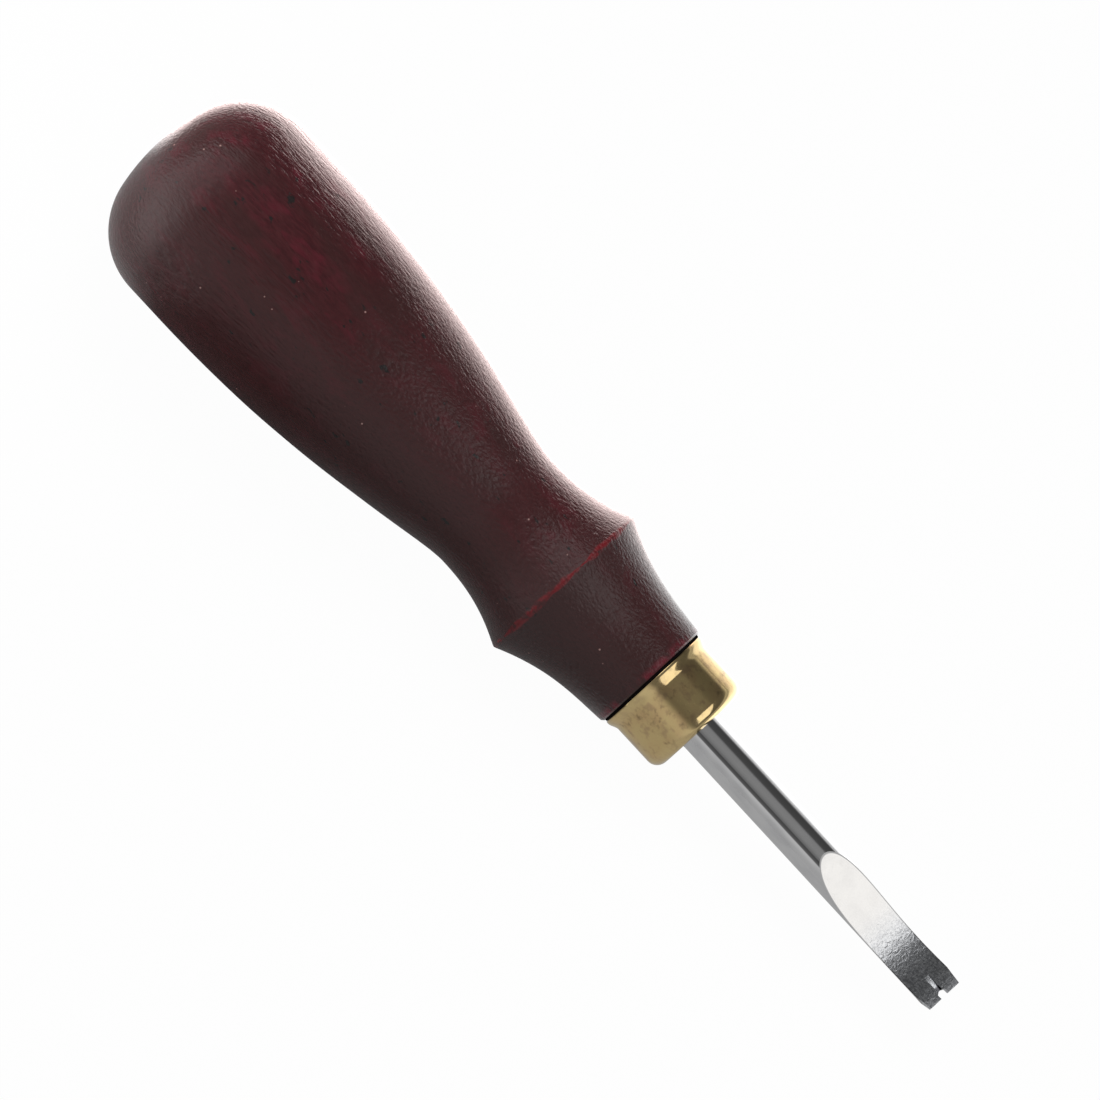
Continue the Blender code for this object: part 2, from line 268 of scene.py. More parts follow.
def grip_outline():
    """The grip in (x, radius), from the middle of the butt to the shoulder's rounded edge."""
    belly = Vector((-BELLY_TO_SHOULDER, BELLY_RADIUS))
    waist = Vector((-WAIST_TO_SHOULDER, WAIST_RADIUS))
    ridge = Vector((-RIDGE_TO_SHOULDER, RIDGE_RADIUS))
    shoulder = Vector((-SHOULDER_ROUND, SHOULDER_RADIUS))
    before_ridge = along(ridge, TOWARDS_BUTT + RIDGE_RISE, RIDGE_ROUND)
    after_ridge = along(ridge, TOWARDS_TIP - RIDGE_FALL, RIDGE_ROUND)
    swell = curve(
        belly,
        along(belly, TOWARDS_TIP, SWELL_PULL),
        waist,
        along(waist, TOWARDS_BUTT, WAIST_PULL),
        2 * CURVE_STEPS,
    )
    flare = curve(
        waist,
        along(waist, TOWARDS_TIP, FLARE_PULL),
        before_ridge,
        along(before_ridge, TOWARDS_BUTT + RIDGE_RISE, RIDGE_RISE_PULL),
        CURVE_STEPS,
    )
    ridge_top = curve(before_ridge, ridge, after_ridge, ridge, BEND_STEPS)
    collar = curve(
        after_ridge,
        along(after_ridge, TOWARDS_TIP - RIDGE_FALL, RIDGE_FALL_PULL),
        shoulder,
        along(shoulder, TOWARDS_BUTT - SHOULDER_TAPER, SHOULDER_PULL),
        CURVE_STEPS,
    )
    return butt_outline() + swell + flare[1:] + ridge_top[1:] + collar[1:]


def handle_outline():
    """The whole half section: the grip, the spigot in the ferrule and the tang's blind bore."""
    spigot_radius = FERRULE_RADIUS - FERRULE_WALL - FIT_GAP
    spigot_end = FERRULE_LENGTH - FERRULE_WALL
    spigot_chamfer = FERRULE_CORNER - FERRULE_WALL
    bore_radius = SHANK_RADIUS + FIT_GAP
    bore_end = -TANG_LENGTH - FIT_GAP
    glue_radius = SHOULDER_RADIUS - SHOULDER_ROUND - GLUE_INSET
    glue_end = FIT_GAP - GLUE_CLEARANCE
    return grip_outline() + [
        Vector((0.0, SHOULDER_RADIUS - SHOULDER_ROUND)),
        Vector((0.0, glue_radius)),
        Vector((glue_end, glue_radius)),
        Vector((glue_end, spigot_radius)),
        Vector((spigot_end - spigot_chamfer, spigot_radius)),
        Vector((spigot_end, spigot_radius - spigot_chamfer)),
        Vector((spigot_end, bore_radius)),
        Vector((bore_end + TANG_POINT, bore_radius)),
        Vector((bore_end, 0.0)),
    ]


def hand_turned(point):
    """A point of the grip moved in or out a little, as hand turning and wear leave it."""
    middle = Vector((point.x, 0.0, 0.0))
    is_in_bore = point.x > -TANG_LENGTH - SHANK_RADIUS and (point - middle).length < 2.0 * SHANK_RADIUS
    if is_in_bore or point.x > -SHOULDER_ROUND:
        return point
    stray = TURNING_STRAY * noise.noise(point / TURNING_STRAY_LENGTH)
    from_ridge = abs(point.x + RIDGE_TO_SHOULDER) / RIDGE_WEAR_REACH
    wear = RIDGE_WEAR * max(0.0, 1.0 - from_ridge) * abs(noise.noise(point / RIDGE_WEAR_LENGTH))
    return point + (point - middle).normalized() * (stray - wear)


# Ferrule


def flare_outline(radius):
    """The mouth of a wall with this radius, from its flared land to where it runs straight."""
    land_end = Vector((FIT_GAP + LIP_LAND, radius + LIP_FLARE))
    straight = Vector((land_end.x + LIP_LENGTH, radius))
    pull = LIP_LENGTH / 3
    return curve(
        land_end,
        along(land_end, TOWARDS_TIP, pull),
        straight,
        along(straight, TOWARDS_BUTT, pull),
        BEND_STEPS,
    )


def ferrule_outline():
    """The cup's closed half section: out along its outside and back along its inside."""
    closed_end = FIT_GAP + FERRULE_LENGTH
    hole_radius = SHANK_RADIUS + FIT_GAP
    bend = Vector((closed_end - FERRULE_CORNER, FERRULE_RADIUS - FERRULE_CORNER))
    edge = Vector((FIT_GAP + LIP_ROUND, FERRULE_RADIUS + LIP_FLARE - LIP_ROUND))
    outside = arc(edge, LIP_ROUND, TOWARDS_BUTT, OUTWARD, BEND_STEPS)
    outside += flare_outline(FERRULE_RADIUS)
    outside += arc(bend, FERRULE_CORNER, OUTWARD, TOWARDS_TIP, BEND_STEPS)
    hole = [Vector((closed_end, hole_radius)), Vector((closed_end - FERRULE_WALL, hole_radius))]
    inside = arc(bend, FERRULE_CORNER - FERRULE_WALL, TOWARDS_TIP, OUTWARD, BEND_STEPS)
    inside += flare_outline(FERRULE_RADIUS - FERRULE_WALL)[::-1]
    mouth = [Vector((FIT_GAP, FERRULE_RADIUS + LIP_FLARE - FERRULE_WALL))]
    return outside + hole + inside + mouth


# Blade


def rod_outline():
    """The half section of the uncut rod, from the tang's point to a little past the tip."""
    rod_end = TIP_TO_SHOULDER + OVERCUT
    return [
        Vector((-TANG_LENGTH, 0.0)),
        Vector((TANG_POINT - TANG_LENGTH, SHANK_RADIUS)),
        Vector((rod_end, SHANK_RADIUS)),
        Vector((rod_end, 0.0)),
    ]


def hollow_centre():
    """The centre, in (x, z), of the wheel that ground the face."""
    lowest = math.sqrt(HOLLOW_DEPTH * (2.0 * HOLLOW_RADIUS - HOLLOW_DEPTH))
    return Vector(
        (TIP_TO_SHOULDER - FACE_LENGTH + lowest, SHANK_RADIUS - HOLLOW_DEPTH + HOLLOW_RADIUS)
    )


def face_point(x):
    """The point of the ground face at this x, in (x, z)."""
    centre = hollow_centre()
    return Vector((x, centre.y - math.sqrt(HOLLOW_RADIUS**2 - (x - centre.x) ** 2)))


def toe_line():
    """The underside's ground ramp, in (x, z), from where it starts to the tip."""
    start = Vector((TIP_TO_SHOULDER - TOE_LENGTH, -SHANK_RADIUS))
    return start, face_point(TIP_TO_SHOULDER) - Vector((0.0, TIP_THICKNESS))


def ramp_line():
    """The floor of the filed ramp above the notch, in (x, z), from where it starts to the tip."""
    return (
        face_point(TIP_TO_SHOULDER - RAMP_LENGTH),
        face_point(TIP_TO_SHOULDER) - Vector((0.0, RAMP_DEPTH)),
    )


def ramp_outline():
    """What filing the ramp takes away as seen from the side, in (x, z)."""
    start, end = ramp_line()
    beyond = OVERCUT / RAMP_LENGTH
    low = start.lerp(end, 1.0 + beyond)
    high = start.lerp(end, -beyond)
    return [low, high, Vector((high.x, SHANK_RADIUS)), Vector((low.x, SHANK_RADIUS))]


def groove_line():
    """The top of the groove under the notch, from where it starts to the cutting edge."""
    ramp_start, ramp_end = ramp_line()
    toe_start, toe_end = toe_line()
    notch_depth = NOTCH_SIDE + NOTCH_ARCH
    under_ramp = ramp_end.lerp(ramp_start, notch_depth / RAMP_LENGTH)
    start = toe_end.lerp(toe_start, GROOVE_LENGTH / TOE_LENGTH)
    return start, under_ramp - Vector((0.0, EDGE_THICKNESS))


def side_outline():
    """What the grinding leaves of the rod as seen from the side, in (x, z)."""
    tang_end = -TANG_LENGTH - OVERCUT
    rod_end = TIP_TO_SHOULDER + 2.0 * OVERCUT
    above = SHANK_RADIUS + OVERCUT
    centre = hollow_centre()
    enters = DOWN - math.acos((centre.y - above) / HOLLOW_RADIUS)
    leaves = DOWN + math.asin((rod_end - centre.x) / HOLLOW_RADIUS)
    toe_start, toe_end = toe_line()
    toe_past_tip = toe_start.lerp(toe_end, 1.0 + 2.0 * OVERCUT / TOE_LENGTH)
    return [
        Vector((tang_end, above)),
        *arc(centre, HOLLOW_RADIUS, enters, leaves, HOLLOW_STEPS),
        toe_past_tip,
        toe_start,
        Vector((toe_start.x, -above)),
        Vector((tang_end, -above)),
    ]


def plan_outline():
    """What is left of the rod as seen square to its face, in (x, y): the taper and the notch."""
    tang_end = -TANG_LENGTH - OVERCUT
    beside = SHANK_RADIUS + OVERCUT
    taper_start = TIP_TO_SHOULDER - TAPER_LENGTH
    notch_half = NOTCH_WIDTH / 2
    arch_radius = (notch_half**2 + NOTCH_ARCH**2) / (2.0 * NOTCH_ARCH)
    arch_half = math.asin(notch_half / arch_radius)
    arch_centre = Vector((TIP_TO_SHOULDER - NOTCH_SIDE - NOTCH_ARCH + arch_radius, 0.0))
    one_side = [
        Vector((tang_end, beside)),
        Vector((taper_start, beside)),
        Vector((taper_start, SHANK_RADIUS)),
        Vector((TIP_TO_SHOULDER, TIP_WIDTH / 2)),
        Vector((TIP_TO_SHOULDER, notch_half)),
    ]
    arch = arc(
        arch_centre,
        arch_radius,
        TOWARDS_BUTT - arch_half,
        TOWARDS_BUTT + arch_half,
        BEND_STEPS,
    )
    other_side = [Vector((p.x, -p.y)) for p in reversed(one_side)]
    return one_side + arch + other_side


# Making meshes of the outlines


def as_mesh(name, shape):
    """The mesh of a shape, with its faces pointing out."""
    bmesh.ops.recalc_face_normals(shape, faces=shape.faces)
    mesh = bpy.data.meshes.new(name)
    shape.to_mesh(mesh)
    shape.free()
    return mesh


def linked(name, mesh):
    made = bpy.data.objects.new(name, mesh)
    bpy.context.scene.collection.objects.link(made)
    return made


def turned(name, outline, sides, is_ring=False):
    """An outline in (x, radius) turned about the x axis."""
    shape = bmesh.new()
    points = [shape.verts.new((p.x, 0.0, p.y)) for p in outline]
    ends = list(zip(points, points[1:]))
    if is_ring:
        ends.append((points[-1], points[0]))
    edges = [shape.edges.new(pair) for pair in ends]
    bmesh.ops.spin(
        shape,
        geom=points + edges,
        cent=(0.0, 0.0, 0.0),
        axis=(1.0, 0.0, 0.0),
        angle=2.0 * math.pi,
        steps=sides,
        use_merge=True,
    )
    bmesh.ops.remove_doubles(shape, verts=shape.verts, dist=WELD)
    return as_mesh(name, shape)


def prism(name, corners, travel):
    """The face on these corners pushed along travel."""
    shape = bmesh.new()
    base = shape.faces.new([shape.verts.new(corner) for corner in corners])
    pushed = bmesh.ops.extrude_face_region(shape, geom=[base])
    moved = [part for part in pushed["geom"] if isinstance(part, bmesh.types.BMVert)]
    bmesh.ops.translate(shape, verts=moved, vec=travel)
    return linked(name, as_mesh(name, shape))


def round_bar(name, line, radius):
    """A round bar past both ends of a line in (x, z), with its top along the line."""
    start, end = line
    lengthen = (end - start).normalized() * OVERCUT
    square = Vector((lengthen.y, -lengthen.x)).normalized() * radius
    low = start - lengthen + square
    high = end + lengthen + square
    run = Vector((high.x - low.x, 0.0, high.y - low.y))
    middle = Vector(((low.x + high.x) / 2, 0.0, (low.y + high.y) / 2))
    shape = bmesh.new()
    bmesh.ops.create_cone(
        shape,
        cap_ends=True,
        segments=GROOVE_SIDES,
        radius1=radius,
        radius2=radius,
        depth=run.length,
        matrix=Matrix.Translation(middle) @ run.to_track_quat("Z", "Y").to_matrix().to_4x4(),
    )
    return linked(name, as_mesh(name, shape))


def worked(mesh, cuts):
    """A mesh after each cutter and operation of cuts, in turn. The cutters are used up."""
    piece = linked(mesh.name, mesh)
    for cutter, operation in cuts:
        cut = piece.modifiers.new(cutter.name, "BOOLEAN")
        cut.object = cutter
        cut.operation = operation
        cut.solver = "EXACT"
    shape = bmesh.new()
    shape.from_object(piece, bpy.context.evaluated_depsgraph_get())
    bmesh.ops.remove_doubles(shape, verts=shape.verts, dist=WELD)
    for used in [piece] + [cutter for cutter, _ in cuts]:
        bpy.data.objects.remove(used)
    return as_mesh(mesh.name, shape)


def ground_blade():
    reach = SHANK_RADIUS + 2.0 * OVERCUT
    side = [(p.x, -reach, p.y) for p in side_outline()]
    plan = [(p.x, p.y, -reach) for p in plan_outline()]
    filed = [(p.x, -RAMP_WIDTH / 2, p.y) for p in ramp_outline()]
    return worked(
        turned("rod", rod_outline(), METAL_SIDES),
        [
            (prism("ground_side", side, (0.0, 2.0 * reach, 0.0)), "INTERSECT"),
            (prism("ground_plan", plan, (0.0, 0.0, 2.0 * reach)), "INTERSECT"),
            (prism("filed_ramp", filed, (0.0, RAMP_WIDTH, 0.0)), "DIFFERENCE"),
            (round_bar("groove", groove_line(), GROOVE_RADIUS), "DIFFERENCE"),
        ],
    )


# The tool's frame


def tool_frame():
    """From the tool's frame to the world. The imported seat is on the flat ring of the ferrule's closed end,
    halfway across the ring.
    """
    seat = next(m for m in frame["record"]["mounts"] if m["name"] == "rack_seat")
    forward = Vector(seat["axis"]).normalized()
    side = Vector((0.0, 1.0, 0.0))
    up = forward.cross(side)
    seat_radius = (SHANK_RADIUS + FIT_GAP + FERRULE_RADIUS - FERRULE_CORNER) / 2
    shoulder = Vector(seat["pos_m"]) - forward * (FIT_GAP + FERRULE_LENGTH) - up * seat_radius
    turn = Matrix((forward, side, up)).transposed()
    return Matrix.Translation(shoulder) @ turn.to_4x4()


TOOL = tool_frame()
TIPWARD = TOOL.to_3x3().col[0]
# Towards the camera, and across the axis up to the right in the picture
CAMERAWARD = TOOL.to_3x3() @ Vector((0.0, -math.sin(CAMERA_ROLL), math.cos(CAMERA_ROLL)))
ACROSS = CAMERAWARD.cross(TIPWARD)


def direction(tipward, round_axis):
    """A direction that leans this far towards the tip, this far round the axis from the camera."""
    square = CAMERAWARD * math.cos(round_axis) + ACROSS * math.sin(round_axis)
    return TIPWARD * math.sin(tipward) + square * math.cos(tipward)


def placed(name, mesh, materials, cad_node):
    """The finished piece: its mesh is marked with places in the tool's frame and stands for its solid."""
    mesh.name = name
    mesh.shade_smooth()
    mesh.set_sharp_from_angle(angle=SHARP_ANGLE)
    places = mesh.attributes.new(PLACE, "FLOAT_VECTOR", "POINT")
    for vertex, place in zip(mesh.vertices, places.data):
        place.vector = vertex.co
    mesh.transform(TOOL)
    for material in materials:
        mesh.materials.append(material)
    piece = linked(name, mesh)
    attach(piece, "root")
    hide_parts(cad_node)


# Shader nodes


def node(tree, kind, inputs, **settings):
    """A shader node. An input takes a value, or another node's output as a link."""
    made = tree.nodes.new("ShaderNode" + kind)
    for name, value in settings.items():
        setattr(made, name, value)
    for name, value in inputs.items():
        if isinstance(value, bpy.types.NodeSocket):
            tree.links.new(value, made.inputs[name])
        else:
            made.inputs[name].default_value = value
    return made


def split(tree, place):
    """The x, y and z of a place."""
    return node(tree, "SeparateXYZ", {0: place}).outputs


def place_in(tree):
    """The shaded point's place in the tool's frame."""
    return node(tree, "Attribute", {}, attribute_name=PLACE).outputs["Vector"]


def place_in_world(tree):
    """The shaded point's x, y and z in the world."""
    return split(tree, node(tree, "NewGeometry", {}).outputs["Position"])


def scaled(tree, place, scale):
    return node(tree, "Mapping", {"Vector": place, "Scale": scale}).outputs[0]


def noise_at(tree, place, lengthwise, crosswise, detail=2.0, distortion=0.0):
    """Noise from 0 to 1 with about this many features to the metre along the tool and across it."""
    inputs = {
        "Vector": scaled(tree, place, (lengthwise, crosswise, crosswise)),
        "Scale": 1.0,
        "Detail": detail,
        "Distortion": distortion,
    }
    return node(tree, "TexNoise", inputs).outputs[0]


def ramp(tree, value, span, levels=(0.0, 1.0)):
    """A value taken smoothly from the first level at a span's start to the second at its end."""
    inputs = {
        "Value": value,
        "From Min": span[0],
        "From Max": span[1],
        "To Min": levels[0],
        "To Max": levels[1],
    }
    return node(tree, "MapRange", inputs, interpolation_type="SMOOTHSTEP").outputs[0]


def maths(tree, operation, first, second=0.0):
    return node(tree, "Math", {0: first, 1: second}, operation=operation).outputs[0]


def times(tree, first, second):
    return maths(tree, "MULTIPLY", first, second)


def between(tree, value, span, soft):
    """1 inside a span and 0 outside it, with soft edges."""
    low, high = span
    enters = ramp(tree, value, (low - soft, low + soft))
    return times(tree, enters, ramp(tree, value, (high + soft, high - soft)))


def facing(tree, ray, towards):
    """The part of a ray that points towards a direction, from -1 to 1."""
    return node(tree, "VectorMath", {0: ray, 1: towards}, operation="DOT_PRODUCT").outputs["Value"]


# Sockets of the Mix node share names, so the next two take them by number


def mixed(tree, share, first, second):
    """The first colour turning to the second as share goes from 0 to 1."""
    return node(tree, "Mix", {0: share, 6: first, 7: second}, data_type="RGBA").outputs[2]


def blended(tree, share, first, second):
    """The first number turning to the second as share goes from 0 to 1."""
    return node(tree, "Mix", {0: share, 2: first, 3: second}).outputs[0]


def specks(tree, place, per_metre, size, share):
    """1 in small round specks: this many cells to the metre, speck size and share of cells with one."""
    cells = node(tree, "TexVoronoi", {"Vector": place, "Scale": per_metre, "Randomness": 1.0}).outputs
    chance = node(tree, "SeparateColor", {0: cells["Color"]}).outputs[0]
    spot = ramp(tree, cells["Distance"], (size, size / 2))
    return times(tree, spot, maths(tree, "LESS_THAN", chance, share))


def bumped(tree, height, depth, strength=1.0, under=None):
    """The normal of a surface with this relief, over the relief that is under it."""
    inputs = {"Height": height, "Distance": depth, "Strength": strength}
    if under is not None:
        inputs["Normal"] = under
    return node(tree, "Bump", inputs).outputs[0]


def new_material(name, **constants):
    """A material with these Principled values, its shader and its node tree."""
    made = bpy.data.materials.new(name)
    made.use_nodes = True
    shader = made.node_tree.nodes["Principled BSDF"]
    for socket, value in constants.items():
        shader.inputs[socket.replace("_", " ")].default_value = value
    return made, shader, made.node_tree


def wire(tree, shader, **sockets):
    for socket, output in sockets.items():
        tree.links.new(output, shader.inputs[socket.replace("_", " ")])


def colour(red, green, blue):
    return (red, green, blue, 1.0)


def grey(level):
    return colour(level, level, level)


# Colours of the studio, and the floor's roughness
BLACK = grey(0.0)
WHITE = grey(1.0)
PINK = colour(1.0, 0.82, 0.80)
FLOOR_PAINT = grey(0.6)
FLOOR_ROUGHNESS = 0.9

# In the materials below, a span is of a place along or across the tool or of a noise, and the levels that go
# with it are the shares, widths or roughnesses at its start and end. Most of a noise lies in the first span
MOST_OF_NOISE = (0.3, 0.7)

# Stained wood
GRAIN_CHANGE = (-0.068, -0.056)
STAIN_DARK = colour(0.040, 0.0085, 0.0105)
STAIN_LIGHT = colour(0.058, 0.0115, 0.0140)
BLUSH = colour(0.084, 0.010, 0.017)
BLUSH_SPAN = (0.50, 0.68)
BLUSH_LEVELS = (0.0, 0.8)
DULL = colour(0.047, 0.0170, 0.0170)
DULL_SPAN = (-0.066, -0.045)
DULL_LEVELS = (0.0, 0.5)
# Brown in random patches, and as painted shade on the handle's left and on the collar, most on the collar's
# left
BROWN = colour(0.036, 0.0140, 0.0135)
WOOD_LEFT_SHADE_SPAN = (0.0, -0.009)
WOOD_LEFT_SHADE_LEVELS = (0.0, 0.6)
BROWN_PATCH_SPAN = (0.47, 0.66)
BROWN_PATCH_LEVELS = (0.0, 0.65)
COLLAR_SHADE_SPAN = (-0.0175, -0.0160)
COLLAR_SHADE_SIDE_SPAN = (0.005, -0.002)
COLLAR_SHADE_SIDE_LEVELS = (0.3, 0.75)
SMUDGE = colour(0.016, 0.012, 0.012)
SMUDGE_SPAN = (0.66, 0.72)
DUST = colour(0.30, 0.17, 0.155)
DUST_PER_METRE = 330.0
DUST_SIZE = 0.06
DUST_SHARE = 0.7
WORN_RIDGE = colour(0.14, 0.010, 0.014)
WORN_RIDGE_WIDTHS = (0.00010, 0.0005)
WORN_RIDGE_FADE = (1.5, 0.6)
WORN_RIDGE_PATCH_SPAN = (0.36, 0.58)
WORN_RIDGE_PATCH_LEVELS = (0.15, 1.0)
WORN_SHOULDER = colour(0.11, 0.012, 0.020)
WORN_SHOULDER_SPAN = (-0.0015, -0.0005)
WORN_SHOULDER_PATCH_SPAN = (0.42, 0.60)
# Dark glue in the joint, run onto the shoulder's rounded edge as painted shade
GLUE = colour(0.006, 0.005, 0.005)
GLUE_AND_SHADE_SPAN = (-0.00012, -0.00004)
WOOD_IOR = 1.42
WOOD_GLOSS_SPAN = (0.3, 0.75)
WOOD_GLOSS_LEVELS = (0.5, 1.0)
WOOD_ROUGHNESSES = (0.12, 0.22)
TURNING_DEPTH = 0.000006
GRAIN_DEPTH = 0.00016
PORE_DEPTH = 0.00003


def wood_grain(tree, place):
    """Long streaks at the butt, which turn to granules along the handle."""
    x, _, _ = split(tree, place)
    streaks = noise_at(tree, place, lengthwise=600.0, crosswise=2500.0, detail=3.0)
    granules = noise_at(tree, place, lengthwise=1400.0, crosswise=2400.0, detail=3.0)
    return blended(tree, ramp(tree, x, GRAIN_CHANGE), streaks, granules)


def stain_colour(tree, place, grain, blush):
    """The stain, light and dark with the grain, reddened in patches and duller away from the butt."""
    x, _, _ = split(tree, place)
    grained = mixed(tree, ramp(tree, grain, MOST_OF_NOISE), STAIN_DARK, STAIN_LIGHT)
    reddened = mixed(tree, ramp(tree, blush, BLUSH_SPAN, BLUSH_LEVELS), grained, BLUSH)
    return mixed(tree, ramp(tree, x, DULL_SPAN, DULL_LEVELS), reddened, DULL)


def aged_and_shaded(tree, place, stained):
    """A stained colour browned in patches, and as painted shade on its left and on the collar, most on the
    collar's left; then smudged and dusted.
    """
    x, y, _ = split(tree, place)
    mottle = noise_at(tree, place, lengthwise=60.0, crosswise=200.0, detail=4.0)
    # Painted shade: browner on the handle's left, and on the collar, most on the collar's left
    side = ramp(tree, y, WOOD_LEFT_SHADE_SPAN, WOOD_LEFT_SHADE_LEVELS)
    patches = ramp(tree, mottle, BROWN_PATCH_SPAN, BROWN_PATCH_LEVELS)
    collar_shade_side = ramp(tree, y, COLLAR_SHADE_SIDE_SPAN, COLLAR_SHADE_SIDE_LEVELS)
    collar = times(tree, ramp(tree, x, COLLAR_SHADE_SPAN), collar_shade_side)
    brown = maths(tree, "MAXIMUM", maths(tree, "MAXIMUM", side, patches), collar)
    browned = mixed(tree, brown, stained, BROWN)
    smudge = noise_at(tree, place, lengthwise=420.0, crosswise=760.0, detail=4.0)
    smudged = mixed(tree, ramp(tree, smudge, SMUDGE_SPAN), browned, SMUDGE)
    return mixed(tree, specks(tree, place, DUST_PER_METRE, DUST_SIZE, DUST_SHARE), smudged, DUST)


def worn(tree, place, aged_and_shaded_colour, blush):
    """A colour worn to a brighter red along the ridge and the shoulder's edge."""
    x, _, _ = split(tree, place)
    unevenness = noise_at(tree, place, lengthwise=250.0, crosswise=250.0)
    width = ramp(tree, unevenness, MOST_OF_NOISE, WORN_RIDGE_WIDTHS)
    from_ridge = maths(tree, "ABSOLUTE", maths(tree, "ADD", x, RIDGE_TO_SHOULDER))
    on_ridge = ramp(tree, maths(tree, "DIVIDE", from_ridge, width), WORN_RIDGE_FADE)
    flecks = noise_at(tree, place, lengthwise=900.0, crosswise=900.0, detail=3.0)
    patches = ramp(tree, flecks, WORN_RIDGE_PATCH_SPAN, WORN_RIDGE_PATCH_LEVELS)
    ridged = mixed(tree, times(tree, on_ridge, patches), aged_and_shaded_colour, WORN_RIDGE)
    at_shoulder = ramp(tree, x, WORN_SHOULDER_SPAN)
    shoulder_worn = times(tree, at_shoulder, ramp(tree, blush, WORN_SHOULDER_PATCH_SPAN))
    return mixed(tree, shoulder_worn, ridged, WORN_SHOULDER)


def stained_wood():
    made, shader, tree = new_material("stained_wood", IOR=WOOD_IOR)
    place = place_in(tree)
    x, _, _ = split(tree, place)
    grain = wood_grain(tree, place)
    pores = noise_at(tree, place, lengthwise=2900.0, crosswise=4600.0)
    turning = noise_at(tree, place, lengthwise=5200.0, crosswise=600.0)
    blush = noise_at(tree, place, lengthwise=190.0, crosswise=420.0, detail=5.0, distortion=0.5)
    stained = stain_colour(tree, place, grain, blush)
    handled = worn(tree, place, aged_and_shaded(tree, place, stained), blush)
    # Dark glue, and painted shade on the shoulder's rounded edge beside it
    in_glue_and_shade = ramp(tree, x, GLUE_AND_SHADE_SPAN)
    edge_on = node(tree, "LayerWeight", {"Blend": 0.5}).outputs["Facing"]
    gloss = ramp(tree, edge_on, WOOD_GLOSS_SPAN, WOOD_GLOSS_LEVELS)
    grained = bumped(tree, grain, GRAIN_DEPTH, under=bumped(tree, turning, TURNING_DEPTH))
    wire(
        tree,
        shader,
        Base_Color=mixed(tree, in_glue_and_shade, handled, GLUE),
        Specular_IOR_Level=times(tree, gloss, maths(tree, "SUBTRACT", 1.0, in_glue_and_shade)),
        Roughness=ramp(tree, grain, MOST_OF_NOISE, WOOD_ROUGHNESSES),
        Normal=bumped(tree, pores, PORE_DEPTH, under=grained),
    )
    return made


# Brass
BRASS_PALE = colour(0.75, 0.575, 0.275)
BRASS_WARM = colour(0.71, 0.50, 0.25)
BRASS_TONE_SPAN = (0.35, 0.68)
TARNISH = colour(0.38, 0.27, 0.14)
TARNISH_PIT_SPAN = (0.48, 0.74)
TARNISH_PATCH_SPAN = (0.42, 0.60)
TARNISH_PATCH_LEVELS = (0.0, 0.95)
BRASS_SMUDGE = colour(0.53, 0.37, 0.205)
BRASS_SMUDGE_SPAN = (0.50, 0.68)
BRASS_SMUDGE_LEVELS = (0.0, 0.75)
BARE_BRASS = colour(0.83, 0.65, 0.33)
BARE_LIP_SPAN = (0.0024, 0.0012)
BARE_END_SPAN = (0.0074, 0.0086)
BARE_SHARE = 0.5
BRASS_ROUGHNESS_SPAN = (0.3, 0.75)
BRASS_ROUGHNESSES = (0.09, 0.17)
BRASS_DENT_DEPTH = 0.000008
BRASS_LINE_DEPTH = 0.0000003


def brass():
    made, shader, tree = new_material("brass", Metallic=1.0)
    place = place_in(tree)
    x, _, _ = split(tree, place)
    cloud = noise_at(tree, place, lengthwise=300.0, crosswise=420.0, detail=5.0)
    lines = noise_at(tree, place, lengthwise=5000.0, crosswise=250.0, detail=3.0)
    pits = noise_at(tree, place, lengthwise=1500.0, crosswise=1500.0, detail=4.0)
    smudge = noise_at(tree, place, lengthwise=700.0, crosswise=900.0, detail=4.0)
    toned = mixed(tree, ramp(tree, cloud, BRASS_TONE_SPAN), BRASS_PALE, BRASS_WARM)
    patches = ramp(tree, cloud, TARNISH_PATCH_SPAN, TARNISH_PATCH_LEVELS)
    tarnish = times(tree, ramp(tree, pits, TARNISH_PIT_SPAN), patches)
    tarnished = mixed(tree, tarnish, toned, TARNISH)
    smudged = mixed(
        tree, ramp(tree, smudge, BRASS_SMUDGE_SPAN, BRASS_SMUDGE_LEVELS), tarnished, BRASS_SMUDGE
    )
    at_ends = maths(tree, "MAXIMUM", ramp(tree, x, BARE_LIP_SPAN), ramp(tree, x, BARE_END_SPAN))
    wire(
        tree,
        shader,
        Base_Color=mixed(tree, times(tree, at_ends, BARE_SHARE), smudged, BARE_BRASS),
        Roughness=ramp(tree, pits, BRASS_ROUGHNESS_SPAN, BRASS_ROUGHNESSES),
        Normal=bumped(tree, lines, BRASS_LINE_DEPTH, under=bumped(tree, cloud, BRASS_DENT_DEPTH)),
    )
    return made


# Polished steel. Its bands along the shank are painted reflections, dark and bright: each lies between two
# angles round the axis from the face, in degrees, and has its own grey
SHANK_PALE = colour(0.79, 0.79, 0.795)
SHANK_DULL = colour(0.72, 0.72, 0.73)
SHANK_TONE_SPAN = (0.35, 0.7)
SHANK_PAINTED_REFLECTIONS = ((-31.0, -21.0, 0.15), (-17.0, 4.0, 0.96), (6.5, 27.0, 0.40))
SHANK_PAINTED_REFLECTION_SOFT = math.radians(2.0)
SHANK_ROUGHNESSES = (0.07, 0.14)
SHANK_LINE_DEPTH = 0.0000010


